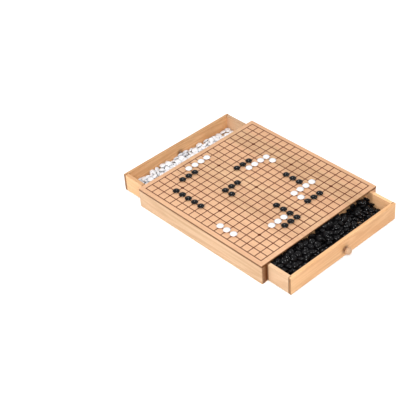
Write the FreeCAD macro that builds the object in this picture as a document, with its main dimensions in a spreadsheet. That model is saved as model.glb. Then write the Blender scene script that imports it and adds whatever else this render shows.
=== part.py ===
"""Go board on a shallow case with two stone drawers, as a parametric FreeCAD document.

Millimetres, +Z up. The origin is the centre of the case's underside. The front drawer slides
along -Y and holds the black stones, the back drawer slides along +Y and holds the white ones,
and both stand open at rest. A game in play lies on the board.
"""
import FreeCAD, Part
import Sketcher

import math
import os

from FreeCAD import Rotation, Vector

# Driving dimensions: alias, value in millimetres (or a plain count), what it is.
SIZES = (
    ("line_count", 19, "lines of the playing grid each way"),
    ("column_pitch", 15.0, "distance between grid lines across the board"),
    ("row_pitch", 16.0, "distance between grid lines along the board"),
    ("side_margin", 9.0, "board beyond the outer lines, left and right"),
    ("end_margin", 10.0, "board beyond the outer lines, front and back"),
    ("line_width", 1.1, "width of a V-cut grid line"),
    ("line_depth", 0.35, "depth of a V-cut grid line"),
    ("star_diameter", 2.6, "diameter of a star point"),
    ("star_depth", 0.35, "depth of a star point"),
    ("board_thickness", 2.8, "thickness of the playing board"),
    ("board_round", 0.5, "rounding of the playing board's upper edge"),
    ("case_height", 40.5, "table to playing surface"),
    ("wall_thickness", 11.5, "thickness of a side wall"),
    ("wall_bevel", 0.8, "bevel on a side wall's upright outer edges"),
    ("shadow_line", 0.8, "chamfer that makes the dark line under the playing board"),
    ("bottom_thickness", 2.0, "thickness of the case bottom"),
    ("bottom_tongue", 4.0, "reach of the case bottom into a side wall"),
    ("rail_thickness", 8.0, "thickness of a cross rail"),
    ("rail_tongue", 3.0, "reach of a cross rail into a side wall"),
    ("rail_gap", 0.5, "gap between a closed drawer and its cross rail"),
    ("drawer_side_gap", 0.5, "running gap beside a drawer"),
    ("drawer_top_gap", 0.5, "running gap over a drawer"),
    ("drawer_bottom_gap", 0.3, "running gap under a drawer"),
    ("drawer_depth", 68.0, "front to back of a drawer, over all"),
    ("drawer_wall", 6.6, "thickness of a drawer's boards"),
    ("lap_cover", 4.4, "end of a front or back board that shows at the corner"),
    ("rim_bevel", 0.5, "bevel on a drawer's outer edges"),
    ("floor_thickness", 3.0, "thickness of a drawer floor"),
    ("floor_lift", 2.5, "height of the floor's groove above the drawer's lower edge"),
    ("floor_tongue", 3.0, "reach of a drawer floor into the boards around it"),
    ("front_opening", 53.5, "how far the front drawer stands open at rest"),
    ("back_opening", 57.0, "how far the back drawer stands open at rest"),
    ("knob_height", 16.5, "table to the axis of a knob"),
    ("knob_diameter", 13.5, "largest diameter of a knob"),
    ("knob_length", 12.6, "how far a knob stands out"),
    ("knob_neck", 7.0, "diameter of a knob's neck"),
    ("knob_neck_length", 3.6, "length of a knob's neck"),
    ("knob_band", 2.2, "length of the straight band round a knob"),
    ("knob_band_height", 5.8, "drawer front to the near edge of that band"),
    ("knob_shoulder", 11.2, "diameter where the two cones of a knob's face meet"),
    ("knob_shoulder_drop", 2.2, "a knob's nose back to where those cones meet"),
    ("knob_nose", 6.0, "diameter of a knob's flat nose"),
    ("screw_diameter", 3.0, "shank diameter of a knob screw"),
    ("screw_head", 6.0, "head diameter of a knob screw"),
    ("screw_length", 15.0, "length of a knob screw over all"),
    ("screw_gap", 0.1, "gap between a knob screw and the wood around its shank"),
    ("slot_width", 0.8, "width of the driver slot in a screw head"),
    ("slot_depth", 0.9, "depth of the driver slot in a screw head"),
    ("stone_diameter", 13.0, "diameter of a stone"),
    ("stone_thickness", 5.0, "thickness of a stone"),
    ("stone_flat", 6.4, "diameter of the nearly flat middle of a stone"),
    ("stone_gap", 0.35, "smallest gap between stones lying in a drawer"),
)

# Sizes that follow from the driving ones, as expressions for the document to work out.
CASE_WIDTH = "(Sizes.column_pitch * (Sizes.line_count - 1) + 2 * Sizes.side_margin)"
CASE_DEPTH = "(Sizes.row_pitch * (Sizes.line_count - 1) + 2 * Sizes.end_margin)"
WALL_HEIGHT = "(Sizes.case_height - Sizes.board_thickness)"
BAY_WIDTH = f"({CASE_WIDTH} - 2 * Sizes.wall_thickness)"
DRAWER_WIDTH = f"({BAY_WIDTH} - 2 * Sizes.drawer_side_gap)"
DRAWER_BASE = "(Sizes.bottom_thickness + Sizes.drawer_bottom_gap)"
DRAWER_HEIGHT = f"({WALL_HEIGHT} - Sizes.drawer_top_gap - {DRAWER_BASE})"
RAIL_FACE = f"({CASE_DEPTH} / 2 - Sizes.drawer_depth - Sizes.rail_gap)"
FLOOR_LEVEL = "(Sizes.floor_lift + Sizes.floor_thickness)"
KNOB_LEVEL = f"(Sizes.knob_height - {DRAWER_BASE})"
HALF_GRID_X = "(Sizes.column_pitch * (Sizes.line_count - 1) / 2)"
HALF_GRID_Y = "(Sizes.row_pitch * (Sizes.line_count - 1) / 2)"

NEAR = 1e-4
STAR_LINES = (3, 9, 15)
SMALL_ROUND_SIDES = 8
STONE_ROWS = 3
STONES_PER_ROW = 10

# The game in play, as runs of stones: first column, first row, the way that the run goes, count.
# Columns count from the left edge and rows from the front edge.
BLACK_RUNS = (
    "4 16 right 3", "10 13 right 3", "6 11 right 3", "6 10 right 1", "13 6 back 3",
    "11 3 right 3", "2 11 back 5", "8 2 back 4", "6 2 right 2",
)
WHITE_RUNS = (
    "6 17 right 4", "11 12 right 4", "14 11 right 1", "11 5 right 4", "11 4 right 1",
    "5 3 right 3", "1 5 back 3",
)

FACING_FRONT = Rotation(Vector(0, 0, 1), 0)
FACING_BACK = Rotation(Vector(0, 0, 1), 180)
# Turns a piece's own Z axis to point out of the drawer front that it is fixed to.
OUT_OF_FRONT = Rotation(Vector(1, 0, 0), 90)

doc = FreeCAD.newDocument("GoBoard")
sheet = doc.addObject("Spreadsheet::Sheet", "Sizes")
for row, (alias, value, meaning) in enumerate(SIZES, start=1):
    sheet.set(f"A{row}", meaning)
    sheet.set(f"B{row}", str(value))
    sheet.setAlias(f"B{row}", alias)
doc.recompute()


def size(expression):
    """The value of an expression on the sheet's sizes."""
    return float(sheet.evalExpression(expression))


# Sketches and features -------------------------------------------------------------------


def new_body(label):
    """A PartDesign body with the label that names its file."""
    body = doc.addObject("PartDesign::Body", label)
    body.Label = label
    return body


def place(item, turn, along="0", up="0"):
    """Turn a piece and move it along Y and Z by expressions."""
    item.Placement.Rotation = turn
    item.setExpression(".Placement.Base.y", along)
    item.setExpression(".Placement.Base.z", up)
    doc.recompute()


def origin_feature(body, role):
    """One of the body's origin planes or axes."""
    return next(item for item in body.Origin.OriginFeatures if item.Role == role)


def sketch_on(body, plane, name, offset="0"):
    """A sketch on one of the body's origin planes, moved along its normal by an expression."""
    sketch = body.newObject("Sketcher::SketchObject", f"{body.Name}_{name}")
    sketch.AttachmentSupport = [(origin_feature(body, plane), "")]
    sketch.MapMode = "FlatFace"
    sketch.setExpression(".AttachmentOffset.Base.z", offset)
    doc.recompute()
    return sketch


def bind(sketch, constraint, expression):
    """Add a constraint to a sketch and bind its value to an expression."""
    index = sketch.addConstraint(constraint)
    sketch.setExpression(f"Constraints[{index}]", expression)


def pin_point(sketch, curve, end, across, up):
    """Hold one point of a curve at two expressions from the sketch's origin."""
    for kind, expression in (("DistanceX", across), ("DistanceY", up)):
        value = size(expression)
        bind(sketch, Sketcher.Constraint(kind, -1, 1, curve, end, value), expression)


def draw_outline(sketch, points):
    """A closed outline of straight edges through points given as pairs of expressions."""
    first = sketch.GeometryCount
    corners = [Vector(size(across), size(up), 0) for across, up in points]
    for start, end in zip(corners, corners[1:] + corners[:1]):
        sketch.addGeometry(Part.LineSegment(start, end), False)
    for number, (across, up) in enumerate(points):
        curve = first + number
        following = first + (number + 1) % len(points)
        sketch.addConstraint(Sketcher.Constraint("Coincident", curve, 2, following, 1))
        pin_point(sketch, curve, 1, across, up)


def draw_rectangle(sketch, left, right, low, high):
    """A rectangle between two pairs of expressions."""
    draw_outline(sketch, [(left, low), (right, low), (right, high), (left, high)])


def draw_small_round(sketch, across, up, diameter):
    """A small round drawn with few sides, set inside a circle of a named diameter."""
    points = []
    for side in range(SMALL_ROUND_SIDES):
        turn = 2 * math.pi * (side + 0.5) / SMALL_ROUND_SIDES
        points.append((f"{across} + {math.cos(turn):.6f} * {diameter} / 2",
                       f"{up} + {math.sin(turn):.6f} * {diameter} / 2"))
    draw_outline(sketch, points)


def draw_circle(sketch, across, up, diameter):
    """A circle of a named diameter."""
    centre = Vector(size(across), size(up), 0)
    curve = sketch.addGeometry(Part.Circle(centre, Vector(0, 0, 1), size(diameter) / 2), False)
    pin_point(sketch, curve, 3, across, up)
    bind(sketch, Sketcher.Constraint("Diameter", curve, size(diameter)), diameter)


def pad(body, sketch, length, midplane=False, reverse=False):
    """Extrude a sketch by an expression."""
    feature = body.newObject("PartDesign::Pad", f"{sketch.Name}_pad")
    feature.Profile = sketch
    feature.setExpression("Length", length)
    feature.Midplane = midplane
    feature.Reversed = reverse
    doc.recompute()


def pocket(body, sketch, length, midplane=False, reverse=False):
    """Cut a sketch away by an expression, and make sure that it did cut."""
    before = body.Shape.Volume
    feature = body.newObject("PartDesign::Pocket", f"{sketch.Name}_pocket")
    feature.Profile = sketch
    feature.setExpression("Length", length)
    feature.Midplane = midplane
    feature.Reversed = reverse
    doc.recompute()
    if not feature.Shape.Volume < before:
        raise RuntimeError(f"{feature.Name} cut nothing")
    return feature


def revolve(body, sketch):
    """Turn a sketch on the XZ plane once round the body's Z axis."""
    feature = body.newObject("PartDesign::Revolution", f"{sketch.Name}_turned")
    feature.Profile = sketch
    feature.ReferenceAxis = (sketch, ["V_Axis"])
    feature.Angle = 360
    doc.recompute()


def repeat_along(body, feature, axis, length, count):
    """Repeat a feature along one of the body's origin axes."""
    pattern = body.newObject("PartDesign::LinearPattern", f"{feature.Name}_row")
    pattern.Originals = [feature]
    pattern.Direction = (origin_feature(body, axis), [""])
    pattern.setExpression("Length", length)
    pattern.setExpression("Occurrences", count)
    body.Tip = pattern
    doc.recompute()


def ease_edges(body, kind, wanted, amount):
    """Fillet or chamfer, by an expression, the edges of the body that a test accepts."""
    base = body.Tip
    names = [f"Edge{number}" for number, edge in enumerate(base.Shape.Edges, start=1) if wanted(edge)]
    feature = body.newObject(f"PartDesign::{kind}", f"{body.Name}_{kind.lower()}")
    feature.Base = (base, names)
    feature.setExpression("Radius" if kind == "Fillet" else "Size", amount)
    doc.recompute()


def lies_at(edge, axis, value):
    """Whether all of an edge lies at one coordinate of an axis, X, Y or Z."""
    box = edge.BoundBox
    low, high = getattr(box, f"{axis}Min"), getattr(box, f"{axis}Max")
    return abs(low - value) < NEAR and abs(high - value) < NEAR


# Case ------------------------------------------------------------------------------------


def build_playing_board():
    """The thin top, with the grid lines cut as V grooves and the star points sunk."""
    body = new_body("playing_board")
    blank = sketch_on(body, "XY_Plane", "blank", WALL_HEIGHT)
    draw_rectangle(blank, f"-{CASE_WIDTH} / 2", f"{CASE_WIDTH} / 2",
                   f"-{CASE_DEPTH} / 2", f"{CASE_DEPTH} / 2")
    pad(body, blank, "Sizes.board_thickness")
    surface = size("Sizes.case_height")
    ease_edges(body, "Fillet", lambda edge: lies_at(edge, "Z", surface), "Sizes.board_round")

    for plane, axis, across, along in (
        ("XZ_Plane", "X_Axis", HALF_GRID_X, HALF_GRID_Y),
        ("YZ_Plane", "Y_Axis", HALF_GRID_Y, HALF_GRID_X),
    ):
        groove = sketch_on(body, plane, f"groove_{plane[:2].lower()}")
        draw_outline(groove, [
            (f"-{across} - Sizes.line_width / 2", "Sizes.case_height"),
            (f"-{across}", "Sizes.case_height - Sizes.line_depth"),
            (f"-{across} + Sizes.line_width / 2", "Sizes.case_height"),
        ])
        line = pocket(body, groove, f"2 * {along} + Sizes.line_width", midplane=True)
        repeat_along(body, line, axis, f"2 * {across}", "Sizes.line_count")

    stars = sketch_on(body, "XY_Plane", "stars", "Sizes.case_height")
    first_row = f"{STAR_LINES[0]} * Sizes.row_pitch - {HALF_GRID_Y}"
    for column in STAR_LINES:
        draw_small_round(stars, f"{column} * Sizes.column_pitch - {HALF_GRID_X}", first_row,
                         "Sizes.star_diameter")
    star_row = pocket(body, stars, "Sizes.star_depth")
    span = f"{STAR_LINES[-1] - STAR_LINES[0]} * Sizes.row_pitch"
    repeat_along(body, star_row, "Y_Axis", span, str(len(STAR_LINES)))


def build_side_wall(label, turn):
    """A side wall: rabbeted for the bottom, housed for both cross rails."""
    body = new_body(label)
    outer = f"-{CASE_WIDTH} / 2"
    inner = f"({outer} + Sizes.wall_thickness)"
    section = sketch_on(body, "XZ_Plane", "section")
    draw_outline(section, [
        (outer, "0"),
        (f"{inner} - Sizes.bottom_tongue", "0"),
        (f"{inner} - Sizes.bottom_tongue", "Sizes.bottom_thickness"),
        (inner, "Sizes.bottom_thickness"),
        (inner, WALL_HEIGHT),
        (f"{outer} + Sizes.shadow_line", WALL_HEIGHT),
        (outer, f"{WALL_HEIGHT} - Sizes.shadow_line"),
    ])
    pad(body, section, CASE_DEPTH, midplane=True)
    for end, sign in (("front", "-"), ("back", "")):
        housing = sketch_on(body, "XY_Plane", f"{end}_housing", WALL_HEIGHT)
        draw_rectangle(housing, f"{inner} - Sizes.rail_tongue", inner,
                       f"{sign}({RAIL_FACE} - Sizes.rail_thickness)", f"{sign}{RAIL_FACE}")
        pocket(body, housing, f"{WALL_HEIGHT} - Sizes.bottom_thickness")
    face = size(outer)
    half_depth = size(f"{CASE_DEPTH} / 2")
    ease_edges(
        body, "Chamfer",
        lambda edge: lies_at(edge, "X", face)
        and (lies_at(edge, "Y", half_depth) or lies_at(edge, "Y", -half_depth)),
        "Sizes.wall_bevel",
    )
    place(body, turn)


def build_case_bottom():
    """The bottom panel, let into the side walls."""
    body = new_body("case_bottom")
    half_width = f"({BAY_WIDTH} / 2 + Sizes.bottom_tongue)"
    outline = sketch_on(body, "XY_Plane", "outline")
    draw_rectangle(outline, f"-{half_width}", half_width, f"-{CASE_DEPTH} / 2", f"{CASE_DEPTH} / 2")
    pad(body, outline, "Sizes.bottom_thickness")


def build_cross_rail(label, turn):
    """The board behind a drawer: it stops the drawer and carries the playing board."""
    body = new_body(label)
    half_width = f"({BAY_WIDTH} / 2 + Sizes.rail_tongue)"
    outline = sketch_on(body, "XY_Plane", "outline", "Sizes.bottom_thickness")
    draw_rectangle(outline, f"-{half_width}", half_width,
                   f"-{RAIL_FACE}", f"-({RAIL_FACE} - Sizes.rail_thickness)")
    pad(body, outline, f"{WALL_HEIGHT} - Sizes.bottom_thickness")
    place(body, turn)


# Drawers. Each piece is modelled as part of a drawer that faces -Y, with the outer face of its
# front board on the XZ plane and its lower edge on the XY plane. -----------------------------


def build_drawer_end(label, outside, inward):
    """A front or back board: rabbeted for the side boards and grooved for the floor."""
    body = new_body(label)
    half = f"{DRAWER_WIDTH} / 2"
    cover = f"{outside} {inward} Sizes.lap_cover"
    inside = f"({outside} {inward} Sizes.drawer_wall)"
    shoulder = f"({half} - Sizes.drawer_wall)"
    plan = sketch_on(body, "XY_Plane", "plan")
    draw_outline(plan, [
        (f"-{half}", outside), (half, outside), (half, cover), (shoulder, cover),
        (shoulder, inside), (f"-{shoulder}", inside), (f"-{shoulder}", cover), (f"-{half}", cover),
    ])
    pad(body, plan, DRAWER_HEIGHT)

    groove = sketch_on(body, "XY_Plane", "groove", FLOOR_LEVEL)
    reach = f"({shoulder} + Sizes.floor_tongue)"
    bed = f"{outside} {inward} (Sizes.drawer_wall - Sizes.floor_tongue)"
    draw_rectangle(groove, f"-{reach}", reach, bed, inside)
    pocket(body, groove, "Sizes.floor_thickness")

    face = size(outside)
    ease_edges(body, "Chamfer", lambda edge: lies_at(edge, "Y", face), "Sizes.rim_bevel")
    return body


def bore_for_knob(body):
    """Bore the front board for the knob's screw and countersink the bore from inside."""
    bore = sketch_on(body, "XZ_Plane", "knob_bore")
    draw_circle(bore, "0", KNOB_LEVEL, "Sizes.screw_diameter + 2 * Sizes.screw_gap")
    pocket(body, bore, "Sizes.drawer_wall")
    inner_face = size("Sizes.drawer_wall")
    ease_edges(
        body, "Chamfer",
        lambda edge: isinstance(edge.Curve, Part.Circle) and lies_at(edge, "Y", inner_face),
        "(Sizes.screw_head - Sizes.screw_diameter) / 2 - Sizes.screw_gap",
    )


def build_drawer_side(label, sign, inward):
    """A side board of a drawer, grooved for the floor."""
    body = new_body(label)
    outside = f"{sign}{DRAWER_WIDTH} / 2"
    inside = f"{outside} {inward} Sizes.drawer_wall"
    bed = f"{outside} {inward} (Sizes.drawer_wall - Sizes.floor_tongue)"
    section = sketch_on(body, "XZ_Plane", "section", "-Sizes.lap_cover")
    draw_outline(section, [
        (outside, "0"),
        (inside, "0"),
        (inside, "Sizes.floor_lift"),
        (bed, "Sizes.floor_lift"),
        (bed, FLOOR_LEVEL),
        (inside, FLOOR_LEVEL),
        (inside, DRAWER_HEIGHT),
        (outside, DRAWER_HEIGHT),
    ])
    pad(body, section, "Sizes.drawer_depth - 2 * Sizes.lap_cover", reverse=True)
    face = size(outside)
    ease_edges(
        body, "Chamfer",
        lambda edge: lies_at(edge, "X", face) and edge.BoundBox.YLength > NEAR,
        "Sizes.rim_bevel",
    )
    return body


def build_drawer_floor(label):
    """The floor of a drawer, held in the grooves of the four boards around it."""
    body = new_body(label)
    half_width = f"({DRAWER_WIDTH} / 2 - Sizes.drawer_wall + Sizes.floor_tongue)"
    start = "(Sizes.drawer_wall - Sizes.floor_tongue)"
    outline = sketch_on(body, "XY_Plane", "outline", "Sizes.floor_lift")
    draw_rectangle(outline, f"-{half_width}", half_width, start, f"Sizes.drawer_depth - {start}")
    pad(body, outline, "Sizes.floor_thickness")
    return body


def build_knob(label):
    """A turned knob: neck, belly and coned face, bored for its screw, its foot on the XY plane."""
    body = new_body(label)
    profile = sketch_on(body, "XZ_Plane", "profile")
    pilot = "(Sizes.screw_diameter / 2 + Sizes.screw_gap)"
    pilot_end = "(Sizes.screw_length - Sizes.drawer_wall + Sizes.screw_gap)"
    belly = "Sizes.knob_diameter / 2"
    draw_outline(profile, [
        (pilot, "0"),
        ("Sizes.knob_neck / 2", "0"),
        ("Sizes.knob_neck / 2", "Sizes.knob_neck_length"),
        (belly, "Sizes.knob_band_height"),
        (belly, "Sizes.knob_band_height + Sizes.knob_band"),
        ("Sizes.knob_shoulder / 2", "Sizes.knob_length - Sizes.knob_shoulder_drop"),
        ("Sizes.knob_nose / 2", "Sizes.knob_length"),
        ("0", "Sizes.knob_length"),
        ("0", pilot_end),
        (pilot, pilot_end),
    ])
    revolve(body, profile)
    return body


def build_knob_screw(label):
    """A slotted countersunk screw, its head's face on the XY plane."""
    body = new_body(label)
    profile = sketch_on(body, "XZ_Plane", "profile")
    shank = "Sizes.screw_diameter / 2"
    draw_outline(profile, [
        ("0", "0"),
        ("Sizes.screw_head / 2", "0"),
        (shank, "(Sizes.screw_head - Sizes.screw_diameter) / 2"),
        (shank, "Sizes.screw_length"),
        ("0", "Sizes.screw_length"),
    ])
    revolve(body, profile)
    slot = sketch_on(body, "XY_Plane", "slot")
    draw_rectangle(slot, "-Sizes.screw_head / 2", "Sizes.screw_head / 2",
                   "-Sizes.slot_width / 2", "Sizes.slot_width / 2")
    pocket(body, slot, "Sizes.slot_depth", reverse=True)
    return body


# Stones ----------------------------------------------------------------------------------


def stone_solid():
    """One lens-shaped stone with flat facets, resting on the XY plane."""
    rings = []
    for diameter, height in (
        (size("Sizes.stone_flat"), 0.0),
        (size("Sizes.stone_diameter"), size("Sizes.stone_thickness / 2")),
        (size("Sizes.stone_flat"), size("Sizes.stone_thickness")),
    ):
        turns = [2 * math.pi * number / SMALL_ROUND_SIDES for number in range(SMALL_ROUND_SIDES + 1)]
        rings.append([
            Vector(diameter / 2 * math.cos(turn), diameter / 2 * math.sin(turn), height)
            for turn in turns
        ])
    faces = [Part.Face(Part.makePolygon(rings[0])), Part.Face(Part.makePolygon(rings[-1]))]
    for lower, upper in zip(rings, rings[1:]):
        for side in range(SMALL_ROUND_SIDES):
            corners = [lower[side], lower[side + 1], upper[side + 1], upper[side], lower[side]]
            faces.append(Part.Face(Part.makePolygon(corners)))
    return Part.makeSolid(Part.makeShell(faces))


def add_stones(label, spots):
    """A group of separate stones, one on each spot."""
    stone = stone_solid()
    group = doc.addObject("Part::Feature", label)
    group.Label = label
    group.Shape = Part.makeCompound([stone.translated(spot) for spot in spots])
    return group


def spots_in_play(runs):
    """Where the stones of one colour lie on the board."""
    spots = []
    for run in runs:
        column, line, way, count = run.split()
        for number in range(int(count)):
            to_right, to_back = (number, 0) if way == "right" else (0, number)
            across = (int(column) + to_right) * size("Sizes.column_pitch") - size(HALF_GRID_X)
            along = (int(line) + to_back) * size("Sizes.row_pitch") - size(HALF_GRID_Y)
            spots.append(Vector(across, along, size("Sizes.case_height")))
    return spots


def spots_in_drawer():
    """Staggered rows of stones that cover a drawer's floor."""
    margin = size("Sizes.drawer_wall + Sizes.stone_gap + Sizes.stone_diameter / 2")
    room_across = size(DRAWER_WIDTH) - 2 * margin
    room_along = size("Sizes.drawer_depth") - 2 * margin
    pitch = room_across / (STONES_PER_ROW - 0.5)
    spots = []
    for line in range(STONE_ROWS):
        shift = pitch / 2 * (line % 2)
        for number in range(STONES_PER_ROW):
            across = shift + pitch * number - room_across / 2
            along = margin + room_along * line / (STONE_ROWS - 1)
            spots.append(Vector(across, along, size(FLOOR_LEVEL)))
    return spots


# Assembly --------------------------------------------------------------------------------


def build_drawer(name, turn, opening, stones):
    """A drawer with its knob and stones, standing open by an expression."""
    front = build_drawer_end(f"{name}_front", "0", "+")
    bore_for_knob(front)
    boards = [
        front,
        build_drawer_end(f"{name}_back", "Sizes.drawer_depth", "-"),
        build_drawer_side(f"{name}_left_side", "-", "+"),
        build_drawer_side(f"{name}_right_side", "", "-"),
        build_drawer_floor(f"{name}_floor"),
        add_stones(stones, spots_in_drawer()),
    ]
    ahead = "-" if turn.isSame(FACING_FRONT, NEAR) else ""
    face = f"{ahead}({CASE_DEPTH} / 2 + {opening})"
    for board in boards:
        place(board, turn, face, DRAWER_BASE)
    outward = turn.multiply(OUT_OF_FRONT)
    place(build_knob(f"{name}_knob"), outward, face, "Sizes.knob_height")
    inner_face = f"{ahead}({CASE_DEPTH} / 2 + {opening} - Sizes.drawer_wall)"
    place(build_knob_screw(f"{name}_knob_screw"), outward, inner_face, "Sizes.knob_height")


def write_parts():
    """Check every object, then write one STEP file for each piece."""
    doc.recompute()
    for item in doc.Objects:
        if "Invalid" in item.State or "Error" in item.State:
            raise RuntimeError(f"{item.Name} failed: {item.State}")
    pieces = [item for item in doc.Objects
              if item.isDerivedFrom("PartDesign::Body") or item.TypeId == "Part::Feature"]
    for piece in pieces:
        if piece.Shape.isNull() or not piece.Shape.isValid():
            raise RuntimeError(f"{piece.Label} has no valid shape")
    os.makedirs("parts", exist_ok=True)
    for piece in pieces:
        piece.Shape.exportStep(f"parts/{piece.Label}.step")
        print(f"{piece.Label}: {len(piece.Shape.Solids)} solids, {piece.Shape.Volume:.0f} mm3")


build_playing_board()
build_side_wall("left_side_wall", FACING_FRONT)
build_side_wall("right_side_wall", FACING_BACK)
build_case_bottom()
build_cross_rail("front_cross_rail", FACING_FRONT)
build_cross_rail("back_cross_rail", FACING_BACK)
build_drawer("front_drawer", FACING_FRONT, "Sizes.front_opening", "black_stones_in_drawer")
build_drawer("back_drawer", FACING_BACK, "Sizes.back_opening", "white_stones_in_drawer")
add_stones("black_stones_in_play", spots_in_play(BLACK_RUNS))
add_stones("white_stones_in_play", spots_in_play(WHITE_RUNS))
write_parts()
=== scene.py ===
"""Looks of a go board with two stone drawers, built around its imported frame.

Lengths are in metres and the frame is the part's own: X runs along the short
side of the board, Y from the front drawer to the back drawer, Z up.
"""

import logging
import math
import random
from collections.abc import Iterable, Mapping
from dataclasses import dataclass, field, replace
from enum import Enum
from functools import reduce

import bmesh
import bpy
from bmesh.types import BMesh
from bpy.types import Material, Mesh, Node, NodeTree, Object
from bpy.types import NodeSocket as Socket
from mathutils import Euler, Matrix, Vector


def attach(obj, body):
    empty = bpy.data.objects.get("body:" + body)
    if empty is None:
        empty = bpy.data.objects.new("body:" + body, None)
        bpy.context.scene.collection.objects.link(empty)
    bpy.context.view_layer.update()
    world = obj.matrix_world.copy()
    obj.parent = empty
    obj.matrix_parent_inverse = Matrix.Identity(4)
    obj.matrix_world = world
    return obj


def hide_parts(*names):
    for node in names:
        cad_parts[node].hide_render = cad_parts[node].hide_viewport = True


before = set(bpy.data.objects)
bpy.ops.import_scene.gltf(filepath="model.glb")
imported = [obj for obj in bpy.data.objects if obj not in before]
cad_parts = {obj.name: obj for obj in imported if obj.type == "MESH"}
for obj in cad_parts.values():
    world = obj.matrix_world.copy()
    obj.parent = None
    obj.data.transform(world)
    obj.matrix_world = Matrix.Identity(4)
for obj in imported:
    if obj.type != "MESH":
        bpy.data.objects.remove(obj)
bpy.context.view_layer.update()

LOG = logging.getLogger("go_board")
MM = 0.001

BOARD_TOP = 40.5 * MM
BOARD_UNDERSIDE = 37.7 * MM
CELL = (15.0 * MM, 16.0 * MM)
HALF_CELLS = 9
STAR_CELLS = 6
ORIGIN = (0.0, 0.0, 0.0)

Triple = tuple[float, float, float]
Pair = tuple[float, float]
Pairs = tuple[Pair, ...]
Runs = tuple[tuple[int, int, int, int, int], ...]
Sockets = dict[str, Socket]


class Body(Enum):
    """The three bodies of the set."""

    CASE = "case"
    FRONT_DRAWER = "front_drawer"
    BACK_DRAWER = "back_drawer"


class Grain(Enum):
    """A board's grain: its direction, and the turn about Z that brings it onto X."""

    ALONG_X = ((1.0, 0.0, 0.0), 0.0)
    ALONG_Y = ((0.0, 1.0, 0.0), -math.pi / 2)


class Axis(Enum):
    """One of the frame's axes, named as a Separate XYZ output is."""

    X = "X"
    Y = "Y"
    Z = "Z"


# Node trees


def named(sockets: Iterable[Socket]) -> Sockets:
    """Returns sockets by their names."""
    return {socket.name: socket for socket in sockets}


class Graph:
    """A node tree with short ways to add nodes and join them."""

    def __init__(self, tree: NodeTree) -> None:
        """Empties the tree and takes it up."""
        self.tree = tree
        self.tree.nodes.clear()

    def add(self, kind: str, feeds: Mapping[str | int, object] | None = None, **settings: object) -> Node:
        """Adds a node.

        Args:
            kind: the node's type name.
            feeds: a socket or a plain value for each input, by name or by number.
            settings: its properties.

        Returns:
            The new node.
        """
        node = self.tree.nodes.new(kind)
        for name, value in settings.items():
            setattr(node, name, value)
        for place, value in (feeds or {}).items():
            socket = node.inputs[place]
            if isinstance(value, Socket):
                self.tree.links.new(value, socket)
            else:
                socket.default_value = (*value, 1.0) if socket.type == "RGBA" else value
        return node

    def math(self, operation: str, a: object, b: object = 0.0, clamp: bool = False) -> Socket:
        """Returns what a Math node makes of two values, held from 0 to 1 where it is clamped."""
        return self.add("ShaderNodeMath", {0: a, 1: b}, operation=operation, use_clamp=clamp).outputs[0]

    def plus(self, *parts: object) -> Socket:
        """Returns the sum of its parts."""
        return reduce(lambda a, b: self.math("ADD", a, b), parts)

    def times(self, *parts: object) -> Socket:
        """Returns the product of its parts."""
        return reduce(lambda a, b: self.math("MULTIPLY", a, b), parts)

    def swing(self, value: Socket, share: object) -> Socket:
        """Returns how far a value is above or below a half, times a share."""
        return self.times(self.math("SUBTRACT", value, 0.5), share)

    def apart(self, a: Socket, b: object) -> Socket:
        """Returns how far two values are apart."""
        return self.math("ABSOLUTE", self.math("SUBTRACT", a, b))

    def radius(self, a: Socket, b: Socket) -> Socket:
        """Returns how far a point is from the middle of its plane."""
        return self.math("SQRT", self.plus(self.math("POWER", a, 2.0), self.math("POWER", b, 2.0)))

    def between(self, value: Socket, low: object, high: object) -> Socket:
        """Returns a value eased from 0 at low to 1 at high."""
        feeds = {"Value": value, "From Min": low, "From Max": high}
        return self.add("ShaderNodeMapRange", feeds, interpolation_type="SMOOTHSTEP").outputs["Result"]

    def vector(self, operation: str, a: object, b: object = ORIGIN) -> Socket:
        """Returns what a Vector Math node makes of two vectors."""
        node = self.add("ShaderNodeVectorMath", {0: a, 1: b}, operation=operation)
        return node.outputs["Value" if operation in ("DOT_PRODUCT", "LENGTH") else "Vector"]

    def split(self, vector: Socket) -> Sockets:
        """Returns a vector's X, Y and Z by name."""
        return named(self.add("ShaderNodeSeparateXYZ", {0: vector}).outputs)

    def tint(self, colour: object, other: object, mask: Socket, share: float = 1.0) -> Socket:
        """Returns a colour with a share of another laid over it where the mask is."""
        feeds = {"Factor": self.times(mask, share), 6: colour, 7: other}
        return self.add("ShaderNodeMix", feeds, data_type="RGBA").outputs[2]

    def noise(self, place: Socket, waves: Triple | float, detail: float, warp: float = 0.0) -> Socket:
        """Adds a noise that may be stretched along the axes.

        Args:
            place: the position.
            waves: the number of waves per metre, the same along each axis or one for each.
            detail: the noise's detail.
            warp: its distortion.

        Returns:
            The noise's value.
        """
        stretch = waves if isinstance(waves, tuple) else (waves,) * 3
        scaled = self.vector("MULTIPLY", place, stretch)
        feeds = {"Vector": scaled, "Scale": 1.0, "Detail": detail, "Distortion": warp}
        return self.add("ShaderNodeTexNoise", feeds, noise_dimensions="3D").outputs[0]

    def cells(self, size: str, feeds: Mapping[str, object]) -> Sockets:
        """Returns the outputs of a 1D or 3D pattern of cells of size one."""
        feeds = {**feeds, "Scale": 1.0}
        return named(self.add("ShaderNodeTexVoronoi", feeds, voronoi_dimensions=size, feature="F1").outputs)

    def use(self, effect: type["Effect"], **values: object) -> Sockets:
        """Places a shared effect.

        Args:
            effect: the effect.
            values: its inputs, with underscores for spaces.

        Returns:
            Its outputs by name.
        """
        tree = bpy.data.node_groups.get(effect.name) or effect().tree
        feeds = {name.replace("_", " "): value for name, value in values.items()}
        return named(self.add("ShaderNodeGroup", feeds, node_tree=tree).outputs)


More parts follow.
